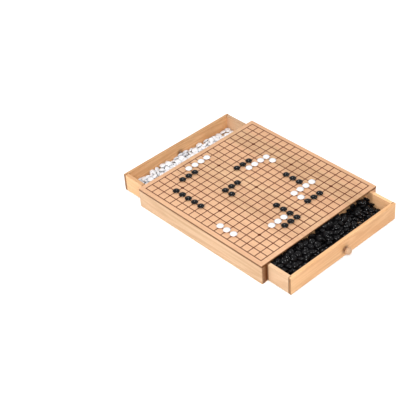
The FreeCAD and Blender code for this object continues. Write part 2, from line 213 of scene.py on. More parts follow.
class Effect(Graph):
    """A shared effect: a shader node group that is built when it is first placed.

    Attributes:
        name: the group's name.
        inputs: the name of each input with its first value.
    """

    name: str
    inputs: dict[str, object]

    def __init__(self) -> None:
        """Builds the group with its sockets."""
        super().__init__(bpy.data.node_groups.new(self.name, "ShaderNodeTree"))
        for name, value in self.inputs.items():
            kind = "NodeSocketFloat" if isinstance(value, float) else "NodeSocketVector"
            socket = self.tree.interface.new_socket(name, in_out="INPUT", socket_type=kind)
            socket.default_value = value
        self.given = named(self.add("NodeGroupInput").outputs)
        self.position = self.given.get("Position")
        results = self.results()
        for name in results:
            kind = "NodeSocketVector" if name == "Normal" else "NodeSocketFloat"
            self.tree.interface.new_socket(name, in_out="OUTPUT", socket_type=kind)
        self.add("NodeGroupOutput", results)

    def results(self) -> Sockets:
        """Returns what goes out of the group, by name; each kind of effect has its own."""
        raise NotImplementedError


class BeechFigure(Effect):
    """Beech: glued staves, soft growth rings, fine fibres, and the short dark flecks of its rays.

    In this and the other effects a noise is given by its waves per metre, its detail and its
    distortion, and an edge by the values between which a mask goes from 0 to 1.
    """

    name = "Beech figure"
    inputs = {"Position": ORIGIN, "Stave Width": 42.0 * MM, "Stave Contrast": 0.5, "Ring Contrast": 0.4}
    stave_jitter = 0.55
    stave_shift = 3.0
    stave_lift = 0.2
    swell = ((3.2, 26.0, 26.0), 2.0, 0.4)
    rings_per_swell = 9.0
    ring_edge = (0.04, 0.42)
    streaks = ((9.0, 420.0, 420.0), 3.0)
    streak_contrast = 1.1
    fibres = ((70.0, 2300.0, 2300.0), 2.0)
    fibre_contrast = 0.7
    clouds = ((7.0, 16.0, 16.0), 2.0)
    cloud_contrast = 0.8
    blushes = ((12.0, 34.0, 34.0), 2.0)
    blush_contrast = 0.8
    blush_edge = (0.25, 0.85)
    rays = (330.0, 1500.0, 1500.0)
    ray_edge = (0.42, 0.18)
    ray_chance = (0.35, 0.75)

    def results(self) -> Sockets:
        """Works out the figure.

        Returns:
            The wood's tone, its redness, its flecks and its relief.
        """
        given = self.given
        across = self.math("DIVIDE", self.split(self.position)["Y"], given["Stave Width"])
        stave = self.cells("1D", {"W": across, "Randomness": self.stave_jitter})
        tone, shift, blush = self.add("ShaderNodeSeparateColor", {0: stave["Color"]}).outputs
        shifts = {"X": self.times(shift, self.stave_shift), "Z": self.times(tone, self.stave_lift)}
        own = self.vector("ADD", self.position, self.add("ShaderNodeCombineXYZ", shifts).outputs[0])

        rings = self.math("FRACT", self.times(self.noise(own, *self.swell), self.rings_per_swell))
        fibre = self.noise(own, *self.fibres)
        shares = (
            (tone, given["Stave Contrast"]),
            (self.between(self.apart(rings, 0.5), *self.ring_edge), given["Ring Contrast"]),
            (self.noise(own, *self.streaks), self.streak_contrast),
            (fibre, self.fibre_contrast),
            (self.noise(own, *self.clouds), self.cloud_contrast),
        )
        swings = self.plus(*(self.swing(part, share) for part, share in shares))
        blush = self.plus(self.swing(blush, self.blush_contrast), self.noise(own, *self.blushes))

        ray = self.cells("3D", {"Vector": self.vector("MULTIPLY", own, self.rays)})
        chance = self.add("ShaderNodeSeparateColor", {0: ray["Color"]}).outputs[0]
        near = self.between(ray["Distance"], *self.ray_edge)
        flecks = self.times(near, self.between(chance, *self.ray_chance))
        return {
            "Tone": self.math("ADD", swings, 0.5, clamp=True),
            "Blush": self.between(blush, *self.blush_edge),
            "Flecks": flecks,
            "Height": self.math("SUBTRACT", self.times(fibre, self.fibre_contrast), flecks),
        }


class EndGrain(Effect):
    """The darker, pored wood where a board is cut across."""

    name = "End grain"
    inputs = {"Position": ORIGIN, "Normal": (0.0, 0.0, 1.0), "Grain": (1.0, 0.0, 0.0)}
    face_edge = (0.6, 0.9)
    curves = ((4.0, 120.0, 620.0), 2.0, 0.6)
    dots = ((900.0, 1900.0, 1900.0), 1.0)
    share = 0.6
    pore_edge = (0.42, 0.78)

    def results(self) -> Sockets:
        """Works out the cut faces.

        Returns:
            Their mask and their pores.
        """
        facing = self.math("ABSOLUTE", self.vector("DOT_PRODUCT", self.given["Normal"], self.given["Grain"]))
        kinds = (self.curves, self.dots)
        pores = self.plus(*(self.times(self.noise(self.position, *form), self.share) for form in kinds))
        return {"Mask": self.between(facing, *self.face_edge), "Pores": self.between(pores, *self.pore_edge)}


class SoftEdges(Effect):
    """Sanded edges: a rounded normal along each edge, and a mask of where hands wear it."""

    name = "Soft edges"
    inputs = {"Radius": 0.6 * MM, "Position": ORIGIN}
    turned = (0.995, 0.8)
    patches = (70.0, 3.0)
    patch_edge = (0.35, 0.7)

    def results(self) -> Sockets:
        """Works out the rounding.

        Returns:
            The rounded normal and the worn patches.
        """
        rounded = self.add("ShaderNodeBevel", {"Radius": self.given["Radius"]}, samples=6).outputs[0]
        true = self.add("ShaderNodeNewGeometry").outputs["Normal"]
        edge = self.between(self.vector("DOT_PRODUCT", rounded, true), *self.turned)
        patchy = self.between(self.noise(self.position, *self.patches), *self.patch_edge)
        return {"Normal": rounded, "Worn": self.times(edge, patchy)}


class DarkBand(Effect):
    """A narrow dark band where a coordinate is near a given value, as at a closed joint or as painted shade.
    """

    name = "Dark band"
    inputs = {"Coordinate": 0.0, "Place": 0.0, "Half Width": 0.3 * MM}
    edge = (1.2, 0.6)

    def results(self) -> Sockets:
        """Returns the band's mask."""
        away = self.apart(self.given["Coordinate"], self.given["Place"])
        return {"Mask": self.between(self.math("DIVIDE", away, self.given["Half Width"]), *self.edge)}


class KnobShadeRing(Effect):
    """A painted shade round a knob on an upright face, darkest next to the knob."""

    name = "Knob shade ring"
    inputs = {"Position": ORIGIN, "Height": 0.0, "Radius": 9.0 * MM}
    edge = (1.0, 0.3)
    patches = (160.0, 2.0)
    patch_share = 0.6
    least = 0.7

    def results(self) -> Sockets:
        """Works out the ring.

        Returns:
            Its mask.
        """
        parts = self.split(self.position)
        up = self.math("SUBTRACT", parts["Z"], self.given["Height"])
        away = self.math("DIVIDE", self.radius(parts["X"], up), self.given["Radius"])
        patchy = self.times(self.noise(self.position, *self.patches), self.patch_share)
        return {"Mask": self.times(self.between(away, *self.edge), self.plus(patchy, self.least))}


class RuledGrid(Effect):
    """The stain of the playing grid: its lines, its star points and all that is cut into the board."""

    name = "Ruled grid"
    inputs = {
        "Position": ORIGIN,
        "Groove Top": BOARD_TOP,
        "Half Width": 0.93 * MM,
        "Bleed": 0.14 * MM,
        "Star Radius": 3.0 * MM,
    }
    edge = (1.1, 0.85)
    wander = (900.0, 2.0)
    margin = 2.5 * MM
    sunk_by = 0.06 * MM
    soaks_to = 0.6 * MM

    def results(self) -> Sockets:
        """Works out the stain.

        Returns:
            Its mask.
        """
        given = self.given
        wander = self.swing(self.noise(self.position, *self.wander), given["Bleed"])
        half = self.plus(given["Half Width"], wander)
        parts = self.split(self.position)
        lines, stars, ruled, within = [], [], [], []
        for name, cell in zip("XY", CELL):
            away = self.math("DIVIDE", self.to_nearest(parts[name], cell), half)
            lines.append(self.between(away, *self.edge))
            stars.append(self.to_nearest(parts[name], STAR_CELLS * cell))
            span, out = HALF_CELLS * cell, self.math("ABSOLUTE", parts[name])
            ruled.append(self.math("LESS_THAN", out, self.plus(half, span)))
            within.append(self.math("LESS_THAN", out, span + self.margin))
        star = self.math("DIVIDE", self.radius(*stars), given["Star Radius"])
        mask = self.math("MAXIMUM", self.math("MAXIMUM", *lines), self.between(star, *self.edge))
        top = given["Groove Top"]
        sunk = self.between(parts["Z"], top, self.math("SUBTRACT", top, self.sunk_by))
        face = self.math("GREATER_THAN", parts["Z"], self.math("SUBTRACT", top, self.soaks_to))
        stain = self.math("MAXIMUM", self.times(mask, *ruled), sunk)
        return {"Mask": self.times(stain, face, *within)}

    def to_nearest(self, value: Socket, pitch: float) -> Socket:
        """Returns how far a coordinate is from the nearest whole multiple of a pitch."""
        cell = self.math("FRACT", self.plus(self.math("DIVIDE", value, pitch), 0.5))
        return self.times(self.apart(cell, 0.5), pitch)


class Dust(Effect):
    """Faint dust and finger marks that lift a gloss here and there."""

    name = "Dust"
    inputs = {"Position": ORIGIN}
    marks = (420.0, 3.0)
    marks_edge = (0.5, 0.75)
    drift = (60.0, 2.0)
    drift_edge = (0.3, 0.7)

    def results(self) -> Sockets:
        """Returns the small marks and the wide drift."""
        kinds = (("Marks", self.marks, self.marks_edge), ("Drift", self.drift, self.drift_edge))
        return {kind: self.between(self.noise(self.position, *form), *edge) for kind, form, edge in kinds}


# Finishes


class Paint(Graph):
    """The node tree of a new material."""

    def __init__(self, name: str) -> None:
        """Starts the material.

        Args:
            name: its name.
        """
        self.material = bpy.data.materials.new(name)
        self.material.use_nodes = True
        super().__init__(self.material.node_tree)
        self.given = named(self.add("ShaderNodeTexCoord").outputs)
        self.position = self.given["Object"]

    def relief(self, height: Socket, strength: float, depth: float, **feeds: Socket) -> Socket:
        """Returns the normal of a bump of a given height."""
        feeds = {"Strength": strength, "Distance": depth, "Height": height, **feeds}
        return self.add("ShaderNodeBump", feeds).outputs[0]

    def coat(self, colour: Socket, rough: Socket, normal: Socket, more: dict[str, object]) -> Material:
        """Ends the material with its shader and returns it."""
        feeds = {"Base Color": colour, "Roughness": rough, "Normal": normal, **more}
        return self.end(self.add("ShaderNodeBsdfPrincipled", feeds).outputs[0])

    def end(self, surface: Socket) -> Material:
        """Sends a shader out as the material's surface and returns the material."""
        self.add("ShaderNodeOutputMaterial", {"Surface": surface})
        return self.material


@dataclass(frozen=True)
class Band:
    """A dark line on a board, at a joint or as painted shade: its place along an axis, half of its width,
    and how dark it is.
    """

    axis: Axis
    place: float
    half_width: float
    strength: float = 1.0


Bands = tuple[Band, ...]


@dataclass(frozen=True)
class WoodFinish:
    """Lacquered beech, with pale and deep fibres, a redder blush, dark flecks and end grain.

    Attributes:
        stave_width: how wide its glued staves are.
        ink: the colour of the stained grid.
        lacquer: how much the lacquer's gloss shows.
        density: the wood's index of refraction.
    """

    pale: Triple
    deep: Triple
    blush: Triple
    fleck: Triple
    end: Triple
    stave_width: float = 0.5
    stave_contrast: float = 0.1
    ring_contrast: float = 0.35
    roughness: float = 0.42
    band_colour: Triple = (0.120, 0.032, 0.003)
    ink: Triple = (0.085, 0.013, 0.000)
    lacquer: float = 0.12
    lacquer_roughness: float = 0.25
    density: float = 1.25
    fibre_strength: float = 0.25
    fibre_depth: float = 0.08 * MM

    def material(
        self,
        name: str,
        grain: Grain,
        cut: Triple,
        bands: Bands = (),
        groove_top: float | None = None,
        handled: Pair | None = None,
    ) -> Material:
        """Makes the finish for one board.

        Args:
            name: the material's name.
            grain: the direction of the board's grain.
            cut: where in the log the board was cut, so that no two boards match.
            bands: the dark lines that the board shows, at joints and as painted shade.
            groove_top: the height under which the board's ruled grooves are stained.
            handled: the height of a knob's axis on the board, and how far the painted shade round it
                reaches.

        Returns:
            The material.
        """
        paint = Paint(name)
        direction, turn = grain.value
        feeds = {"Vector": paint.position, "Rotation": (0.0, 0.0, turn), "Location": cut}
        inside = paint.add("ShaderNodeMapping", feeds).outputs[0]
        contrasts = {"Stave_Contrast": self.stave_contrast, "Ring_Contrast": self.ring_contrast}
        figure = paint.use(BeechFigure, Position=inside, Stave_Width=self.stave_width, **contrasts)
        across = paint.use(EndGrain, Position=inside, Normal=paint.given["Normal"], Grain=direction)
        edges = paint.use(SoftEdges, Position=paint.position)
        colour = paint.tint(self.deep, self.pale, figure["Tone"])
        colour = paint.tint(colour, self.blush, figure["Blush"], share=0.45)
        colour = paint.tint(colour, self.fleck, figure["Flecks"], share=0.5)
        cut_face = paint.tint(self.end, self.deep, across["Pores"], share=0.45)
        colour = paint.tint(colour, cut_face, across["Mask"], share=0.85)
        colour = paint.tint(colour, self.pale, edges["Worn"], share=0.35)

        # Dark bands, some of them painted shade, and the stained grid, with no lacquer over them.
        coordinates = paint.split(paint.position)
        stains_and_shades = []
        for band in bands:
            along = coordinates[band.axis.value]
            line = paint.use(DarkBand, Coordinate=along, Place=band.place, Half_Width=band.half_width)
            stains_and_shades.append((paint.times(line["Mask"], band.strength), self.band_colour))
        if groove_top is not None:
            ruled = paint.use(RuledGrid, Position=paint.position, Groove_Top=groove_top)
            stains_and_shades.append((ruled["Mask"], self.ink))
        lacquer = self.lacquer
        for stain, dark in stains_and_shades:
            colour = paint.tint(colour, dark, stain)
            lacquer = paint.times(paint.math("SUBTRACT", 1.0, stain), lacquer)
        # Painted shade round the knob, in the colour of the end grain.
        if handled is not None:
            height, reach = handled
            ring = paint.use(KnobShadeRing, Position=paint.position, Height=height, Radius=reach)
            colour = paint.tint(colour, self.end, ring["Mask"], share=0.7)

        shares = ((figure["Flecks"], 0.12), (figure["Tone"], 0.06), (across["Mask"], 0.15))
        rough = paint.plus(*(paint.times(part, share) for part, share in shares), self.roughness)
        fibres = (figure["Height"], self.fibre_strength, self.fibre_depth)
        normal = paint.relief(*fibres, Normal=edges["Normal"])
        gloss = {"IOR": self.density, "Coat Weight": lacquer, "Coat Roughness": self.lacquer_roughness}
        return paint.coat(colour, rough, normal, gloss)


@dataclass(frozen=True)
class StoneFinish:
    """Polished glass of a playing stone: its colour, what that drifts to, and the dust on it.

    Attributes:
        density: the glass's index of refraction.
        ripples: how many of its faint ripples go into a metre.
    """

    colour: Triple
    drift: Triple
    dust: Triple
    roughness: float
    dust_share: float
    density: float
    ripples: float = 260.0
    ripple_strength: float = 0.08
    ripple_depth: float = 0.2 * MM

    def material(self, name: str) -> Material:
        """Makes the finish.

        Args:
            name: the material's name.

        Returns:
            The material.
        """
        paint = Paint(name)
        dust = paint.use(Dust, Position=paint.position)
        colour = paint.tint(self.colour, self.drift, dust["Drift"])
        colour = paint.tint(colour, self.dust, dust["Marks"], self.dust_share)
        shares = ((dust["Marks"], 0.18), (dust["Drift"], 0.05))
        rough = paint.plus(*(paint.times(part, share) for part, share in shares), self.roughness)
        ripples = paint.noise(paint.position, self.ripples, 2.0)
        normal = paint.relief(ripples, self.ripple_strength, self.ripple_depth)
        return paint.coat(colour, rough, normal, {"IOR": self.density})


@dataclass(frozen=True)
class SteelFinish:
    """Zinc-plated steel of a small screw, bright, and dull where the plating has worn."""

    colour: Triple = (0.50, 0.48, 0.45)
    dull: Triple = (0.20, 0.18, 0.16)
    roughness: float = 0.32
    edge_radius: float = 0.2 * MM

    def material(self, name: str) -> Material:
        """Makes the finish.

        Args:
            name: the material's name.

        Returns:
            The material.
        """
        paint = Paint(name)
        dust = paint.use(Dust, Position=paint.position)
        edges = paint.use(SoftEdges, Position=paint.position, Radius=self.edge_radius)
        colour = paint.tint(self.colour, self.dull, dust["Drift"])
        colour = paint.tint(colour, self.colour, edges["Worn"])
        rough = paint.plus(paint.times(dust["Marks"], 0.25), self.roughness)
        return paint.coat(colour, rough, edges["Normal"], {"Metallic": 1.0})


BOARD_WOOD = WoodFinish(
    pale=(0.725, 0.470, 0.275), deep=(0.47, 0.260, 0.138), blush=(0.67, 0.355, 0.205),
    fleck=(0.42, 0.215, 0.11), end=(0.36, 0.19, 0.10), stave_width=42.0 * MM, stave_contrast=0.35,
    ring_contrast=0.22,
)
# CASE_WOOD's cut ends are darker than end grain alone: partly end grain, partly painted shade on the left
# wall's front end beside the front drawer. RIGHT_WALL_WOOD keeps a lighter cut end.
CASE_WOOD = WoodFinish(
    pale=(0.76, 0.530, 0.340), deep=(0.56, 0.340, 0.185), blush=(0.72, 0.435, 0.255),
    fleck=(0.48, 0.25, 0.12), end=(0.135, 0.048, 0.016), ring_contrast=0.4,
)
RIGHT_WALL_WOOD = replace(CASE_WOOD, end=(0.52, 0.26, 0.14))
DRAWER_WOOD = WoodFinish(
    pale=(0.83, 0.510, 0.265), deep=(0.60, 0.310, 0.130), blush=(0.75, 0.390, 0.185),
    fleck=(0.50, 0.24, 0.10), end=(0.13, 0.050, 0.015), ring_contrast=0.45,
)
# The drawers' right sides take a paler wood than their left sides: painted light on their inner faces.
LIT_SIDE_WOOD = WoodFinish(
    pale=(0.95, 0.585, 0.325), deep=(0.79, 0.445, 0.215), blush=(0.90, 0.500, 0.250),
    fleck=(0.52, 0.27, 0.13), end=(0.36, 0.17, 0.08), ring_contrast=0.4,
)
PANEL_WOOD = WoodFinish(
    pale=(0.76, 0.52, 0.33), deep=(0.60, 0.37, 0.20), blush=(0.68, 0.42, 0.25),
    fleck=(0.44, 0.24, 0.12), end=(0.34, 0.19, 0.10), ring_contrast=0.5, roughness=0.55,
)
KNOB_WOOD = WoodFinish(
    pale=(0.59, 0.390, 0.253), deep=(0.44, 0.26, 0.145), blush=(0.53, 0.33, 0.20),
    fleck=(0.38, 0.20, 0.10), end=(0.52, 0.33, 0.21), ring_contrast=0.3, roughness=0.34,
)
BLACK_STONE = StoneFinish(
    colour=(0.0030, 0.0028, 0.0032), drift=(0.006, 0.0055, 0.0065), dust=(0.06, 0.055, 0.055),
    roughness=0.05, dust_share=0.06, density=1.26,
)
WHITE_STONE = StoneFinish(
    colour=(0.755, 0.760, 0.775), drift=(0.725, 0.740, 0.780), dust=(0.72, 0.72, 0.74), roughness=0.2,
    dust_share=0.25, density=1.48,
)
SCREW_STEEL = SteelFinish()


# Meshes


def turned_shape(profile: list[Pair], sides: int) -> BMesh:
    """Turns a profile round the Z axis, as on a lathe.

    Args:
        profile: the (radius, height) points, from one end of the axis to the other.
        sides: how many steps go round.

    Returns:
        The closed turned shape, with its faces outwards.
    """
    shape = bmesh.new()
    points = [shape.verts.new((radius, 0.0, height)) for radius, height in profile]
    lines = [shape.edges.new(pair) for pair in zip(points, points[1:])]
    around = {"cent": ORIGIN, "axis": (0.0, 0.0, 1.0), "angle": math.tau, "steps": sides}
    bmesh.ops.spin(shape, geom=points + lines, **around, use_merge=True, use_duplicate=False)
    bmesh.ops.remove_doubles(shape, verts=shape.verts, dist=1e-6)
    bmesh.ops.recalc_face_normals(shape, faces=shape.faces)
    return shape


def mesh_of(name: str, shape: BMesh) -> Mesh:
    """Makes a mesh of a finished shape, and frees the shape.

    Args:
        name: the mesh's name.
        shape: the shape.

    Returns:
        The mesh.
    """
    mesh = bpy.data.meshes.new(name)
    shape.to_mesh(mesh)
    shape.free()
    return mesh


def place(name: str, data: bpy.types.ID, lay: Matrix | None = None) -> Object:
    """Adds an object to the scene.

    Args:
        name: its name.
        data: its mesh, lamp or camera.
        lay: where it lies, unless that is the origin.

    Returns:
        The object.
    """
    thing = bpy.data.objects.new(name, data)
    if lay is not None:
        thing.matrix_world = lay
    bpy.context.scene.collection.objects.link(thing)
    return thing


def copies(pattern: Mesh, lays: Iterable[Matrix]) -> BMesh:
    """Joins copies of a mesh and removes the mesh.

    Args:
        pattern: the mesh.
        lays: where each copy lies.

    Returns:
        The joined shape.
    """
    joined = bmesh.new()
    for lay in lays:
        before = len(joined.verts)
        joined.from_mesh(pattern)
        joined.verts.ensure_lookup_table()
        bmesh.ops.transform(joined, matrix=lay, verts=joined.verts[before:])
    bpy.data.meshes.remove(pattern)
    return joined


def new_piece(name: str, shape: BMesh, material: Material, crease: float) -> Object:
    """Makes a piece at the origin from a finished shape, and frees the shape.

    Args:
        name: the piece's name.
        shape: its shape, in place.
        material: its finish.
        crease: the angle in degrees past which an edge stays sharp.

    Returns:
        The new object.
    """
    mesh = mesh_of(name, shape)
    mesh.materials.append(material)
    mesh.shade_smooth()
    mesh.set_sharp_from_angle(angle=math.radians(crease))
    return place(name, mesh)


def dress(node: str, material: Material) -> None:
    """Gives a carried-over node its finish in all its material slots.

    Args:
        node: the node's name.
        material: the finish.
    """
    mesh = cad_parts[node].data
    if not mesh.materials:
        mesh.materials.append(material)
    for slot in range(len(mesh.materials)):
        mesh.materials[slot] = material
    LOG.info("dressed %s", node)


def dress_board(
    node: str, wood: WoodFinish, grain: Grain, cut: Triple, bands: Bands = (), **marks: object
) -> None:
    """Gives a carried-over board its own cut of a wood, with the dark bands, grid stain and painted knob
    shade that it shows.
    """
    dress(node, wood.material(f"{node} beech", grain, cut, bands, **marks))


def settle(piece: Object, body: Body, slot: str, *nodes: str) -> None:
    """Puts a new piece on its body in place of its nodes.

    Args:
        piece: the new piece.
        body: the body that carries it.
        slot: the name of one of the record's material slots; not used.
        nodes: the nodes that it stands for.
    """
    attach(piece, body.value)
    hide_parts(*nodes)
    LOG.info("%s: %d faces, stands for %s", piece.name, len(piece.data.polygons), ", ".join(nodes))


# The object's pieces


@dataclass
class PlayingBoard:
    """The board with its stained grid and the dark line along its lower edge."""

    edge: Band = Band(Axis.Z, BOARD_UNDERSIDE, 1.7 * MM, 0.8)
    stain_depth: float = 0.03 * MM
    cut: Triple = (0.31, 0.008, 0.12)

    def dress(self) -> None:
        """Gives the board its staves and its stained grid."""
        top = BOARD_TOP - self.stain_depth
        dress_board("playing_board", BOARD_WOOD, Grain.ALONG_Y, self.cut, (self.edge,), groove_top=top)


@dataclass
class CaseShell:
    """The walls, rails and bottom that carry the board and lead the drawers, with a painted shade on the
    left wall beside the front drawer.
    """

    inner_face: float = -132.5 * MM
    shadow: Band = Band(Axis.Z, 36.8 * MM, 1.2 * MM, 0.9)
    gap_shade_half_width: float = 3.4 * MM
    wide_gap_shade_half_width: float = 9.0 * MM

    def dress(self) -> None:
        """Gives each board of the case its grain and its finish."""
        # Painted shade on the left wall beside the front drawer: a dark band along its inner face and the
        # inner edge of its cut end, and a wider, fainter one across that cut end.
        gap_shade = Band(Axis.X, self.inner_face, self.gap_shade_half_width)
        wide_gap_shade = Band(Axis.X, self.inner_face, self.wide_gap_shade_half_width, 0.5)
        for board in (
            ("left_side_wall", CASE_WOOD, Grain.ALONG_Y, (0.2, 0.4, 0.1), (wide_gap_shade, self.shadow, gap_shade)),
            ("right_side_wall", RIGHT_WALL_WOOD, Grain.ALONG_Y, (0.9, 0.4, 0.1), (self.shadow,)),
            ("front_cross_rail", CASE_WOOD, Grain.ALONG_X, (1.3, 0.2, 0.6)),
            ("back_cross_rail", CASE_WOOD, Grain.ALONG_X, (2.3, 0.2, 0.6)),
            ("case_bottom", PANEL_WOOD, Grain.ALONG_X, (2.4, 0.1, 0.3)),
        ):
            dress_board(*board)


@dataclass
class StoneShape:
    """A playing stone: a lens with a flat rest in the middle of each side."""

    radius: float = 6.5 * MM
    thickness: float = 5.0 * MM
    fine: Pairs = ((0.0, 1.0), (0.25, 0.975), (0.55, 0.83), (0.82, 0.53), (1.0, 0.0))
    fine_sides: int = 16
    plain: Pairs = ((0.0, 1.0), (0.45, 0.93), (0.82, 0.56), (1.0, 0.0))
    plain_sides: int = 12

    def single(self) -> BMesh:
        """Returns a stone seen singly, with its middle at the origin."""
        return self.turn(self.fine, self.fine_sides)

    def heaped(self) -> BMesh:
        """Returns a stone of a heap, with its middle at the origin."""
        return self.turn(self.plain, self.plain_sides)

    def turn(self, shares: Pairs, sides: int) -> BMesh:
        """Turns a stone from the shares of its radius and height, from its upper pole to its rim."""
        upper = [(self.radius * across, self.thickness / 2 * up) for across, up in shares]
        return turned_shape(upper + [(across, -up) for across, up in reversed(upper[:-1])], sides)


@dataclass
class GameInPlay:
    """The stones that lie on the grid's points, in straight runs.

    A run is its first stone's column and row from the left and the front, the step in columns and
    in rows to the next, and how many stones it has.
    """

    stone: StoneShape = field(default_factory=StoneShape)
    careless: float = 0.35 * MM
    seed: int = 19
    black_runs: Runs = (
        (4, 16, 1, 0, 3), (10, 13, 1, 0, 3), (6, 11, 1, 0, 3), (6, 10, 1, 0, 1), (13, 6, 0, 1, 3),
        (11, 3, 1, 0, 3), (2, 11, 0, 1, 5), (8, 2, 0, 1, 4), (6, 2, 1, 0, 2),
    )
    white_runs: Runs = (
        (6, 17, 1, 0, 4), (11, 12, 1, 0, 4), (14, 11, 1, 0, 1), (11, 5, 1, 0, 4), (11, 4, 1, 0, 1),
        (5, 3, 1, 0, 3), (1, 5, 0, 1, 3),
    )

    def lay(self, point: tuple[int, int], dice: random.Random) -> Matrix:
        """Lays one stone on its point.

        Args:
            point: its column and row.
            dice: the source of the hand's carelessness.

        Returns:
            The stone's matrix.
        """
        x, y = (
            (number - HALF_CELLS) * cell + dice.uniform(-1, 1) * self.careless
            for number, cell in zip(point, CELL)
        )
        spot = Matrix.Translation((x, y, BOARD_TOP + self.stone.thickness / 2))
        return spot @ Matrix.Rotation(dice.uniform(0, math.tau), 4, "Z")

    def build(self, black: Material, white: Material) -> None:
        """Lays the whole game.

        Args:
            black: the black stones' finish.
            white: the white stones' finish.
        """
        dice = random.Random(self.seed)
        for colour, runs, finish in (("black", self.black_runs, black), ("white", self.white_runs, white)):
            points = [(x + dx * k, y + dy * k) for x, y, dx, dy, count in runs for k in range(count)]
            pattern = mesh_of("stone pattern", self.stone.single())
            game = copies(pattern, [self.lay(point, dice) for point in points])
            piece = new_piece(f"{colour}_game_stones", game, finish, crease=60.0)
            settle(piece, Body.CASE, f"{colour}_stone", f"{colour}_stones_in_play")


@dataclass
class Knob:
    """A turned knob: a thin neck and a round head, held by a screw from inside.

    Attributes:
        neck: the neck's shares of its radius, each with its distance from the face in millimetres.
        head: the same for the head.
    """

    axis_height: float = 16.5 * MM
    length: float = 12.6 * MM
    neck_radius: float = 3.5 * MM
    head_radius: float = 6.75 * MM
    sides: int = 40
    neck: Pairs = ((1.1, 0.0), (1.02, 0.5), (1.0, 1.6), (1.04, 3.0), (1.25, 3.7))
    head: Pairs = (
        (0.86, 4.3), (0.96, 5.2), (1.0, 6.6), (0.985, 8.0), (0.92, 9.4),
        (0.8, 10.7), (0.62, 11.7), (0.38, 12.3), (0.16, 12.56),
    )

    def build(self, name: str, face: float, outward: int, finish: Material) -> Object:
        """Turns the knob and sets it on its drawer's face.

        Args:
            name: the piece's name.
            face: the Y of the drawer's outer face.
            outward: the sign of the direction in which the knob points.
            finish: its finish.

        Returns:
            The piece.
        """
        neck = [(self.neck_radius * share, out * MM) for share, out in self.neck]
        head = [(self.head_radius * share, out * MM) for share, out in self.head]
        shape = turned_shape([(0.0, 0.0), *neck, *head, (0.0, self.length)], self.sides)
        lie = Matrix.Rotation(-outward * math.pi / 2, 4, "X")
        move = Matrix.Translation((0.0, face, self.axis_height))
        bmesh.ops.transform(shape, matrix=move @ lie, verts=shape.verts)
        bmesh.ops.recalc_face_normals(shape, faces=shape.faces)
        return new_piece(name, shape, finish, crease=50.0)


@dataclass
class Heap:
    """Loose stones that have been poured into a tray and have come to rest.

    Attributes:
        low: the tray's lowest inner corner.
        high: its highest inner corner.
        lean: the tilt in degrees about X and about Y at which the stones settle.
        hollow: the share of the tray's length, from and to, that gets only the first layers.
        hollow_layers: how many layers those are.
        ceiling: the height that no stone may pass, just under the board that the drawer slides below.
    """

    name: str
    count: int
    low: Vector
    high: Vector
    lean: Pair
    seed: int
    hollow: Pair = (0.0, 0.0)
    hollow_layers: int = 0
    ceiling: float = 37.5 * MM

    def piece(self, rests: list[Matrix], stone: StoneShape, finish: Material) -> Object:
        """Joins the settled stones into one piece, without any that would scrape under the board.

        Args:
            rests: where each stone lies.
            stone: the stones' shape.
            finish: their finish.

        Returns:
            The piece.
        """
        pattern = mesh_of("heap pattern", stone.heaped())
        kept = [rest for rest in rests if max((rest @ v.co).z for v in pattern.vertices) < self.ceiling]
        tops = [rest.translation.z / MM for rest in kept]
        LOG.info("%s: %d stones lie from %.1f to %.1f mm", self.name, len(kept), min(tops), max(tops))
        return new_piece(self.name, copies(pattern, kept), finish, crease=60.0)


